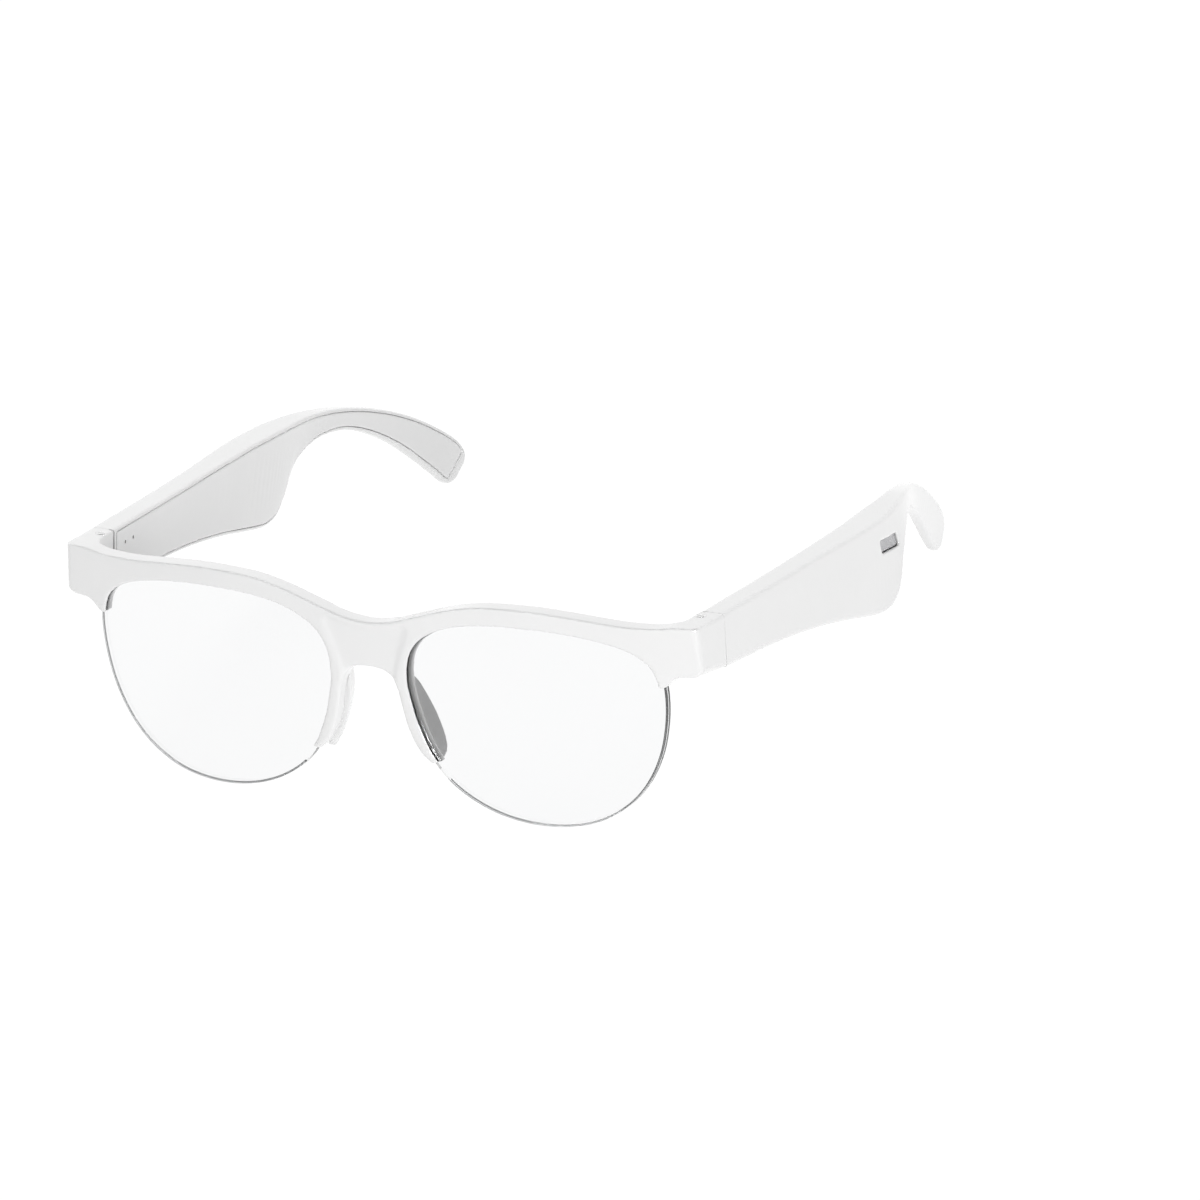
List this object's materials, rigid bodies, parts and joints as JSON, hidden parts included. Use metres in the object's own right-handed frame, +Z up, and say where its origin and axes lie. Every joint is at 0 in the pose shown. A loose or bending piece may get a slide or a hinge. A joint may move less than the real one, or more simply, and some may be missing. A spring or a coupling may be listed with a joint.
{
  "type": "smart glasses",
  "caption": "White half-rim smart glasses with clear rimless-bottom lenses, thick electronics temples that fold on screw hinges, and curved ear hooks.",
  "frame": {"origin": "centre of the footprint, on the surface that the open glasses rest on, touching it with both lenses' lowest points and both ear hooks' tips", "axes": "+Z up, +Y from the front towards the ear hooks, +X towards the wearer's left"},
  "size_m": [0.1502, 0.1608, 0.0509],
  "materials": {
    "front_plastic": "satin white moulded plastic",
    "temple_plastic": "satin white moulded plastic",
    "cover_plastic": "fine satin white plastic",
    "pad_plastic": "soft satin white plastic",
    "lens_clear": "clear, very faint grey tint, polished",
    "nylon_cord": "drawn nylon, clear",
    "hinge_steel": "stamped and tumbled",
    "screw_steel": "turned and polished",
    "battery_foil": "laminated foil pouch",
    "board_laminate": "green solder mask",
    "speaker_body": "black moulded",
    "vent_steel": "etched mesh, grey",
    "gasket_rubber": "foam rubber, black",
    "contact_gold": "gold plated pins",
    "magnet_nickel": "nickel plated",
    "microphone_can": "stamped can",
    "sensor_film": "copper pattern on amber film",
    "flex_film": "amber film",
    "strip_steel": "spring steel"
  },
  "bodies": {
    "front": {"front_frame": "front_plastic", "lens_left": "lens_clear", "lens_right": "lens_clear", "lens_cord_left": "nylon_cord", "lens_cord_right": "nylon_cord", "nose_pad_left": "pad_plastic", "nose_pad_right": "pad_plastic", "front_hinge_left": "hinge_steel", "front_hinge_right": "hinge_steel", "hinge_screw_left": "screw_steel", "hinge_screw_right": "screw_steel"},
    "left_temple": {"temple_shell_left": "temple_plastic", "inner_cover_left": "cover_plastic", "temple_hinge_left": "hinge_steel", "leaf_screws_left": "screw_steel", "battery_left": "battery_foil", "circuit_board_left": "board_laminate", "speaker_left": "speaker_body", "vent_mesh_left": "vent_steel", "vent_gasket_left": "gasket_rubber", "charging_contacts_left": "contact_gold", "charging_magnets_left": "magnet_nickel", "microphone_left": "microphone_can", "touch_sensor_left": "sensor_film", "flex_cable_left": "flex_film", "core_strip_left": "strip_steel"},
    "right_temple": {"temple_shell_right": "temple_plastic", "inner_cover_right": "cover_plastic", "temple_hinge_right": "hinge_steel", "leaf_screws_right": "screw_steel", "battery_right": "battery_foil", "circuit_board_right": "board_laminate", "speaker_right": "speaker_body", "vent_mesh_right": "vent_steel", "vent_gasket_right": "gasket_rubber", "charging_contacts_right": "contact_gold", "charging_magnets_right": "magnet_nickel", "microphone_right": "microphone_can", "touch_sensor_right": "sensor_film", "flex_cable_right": "flex_film", "core_strip_right": "strip_steel"}
  },
  "joints": [
    {"name": "left_hinge", "type": "hinge", "parent": "front", "child": "left_temple", "pos_m": [0.0699, -0.06244, 0.04059], "axis": [0, 0.1519, 0.9884], "range_deg": [0, 86]},
    {"name": "right_hinge", "type": "hinge", "parent": "front", "child": "right_temple", "pos_m": [-0.0699, -0.06244, 0.04059], "axis": [0, -0.1519, -0.9884], "range_deg": [0, 75]}
  ]
}
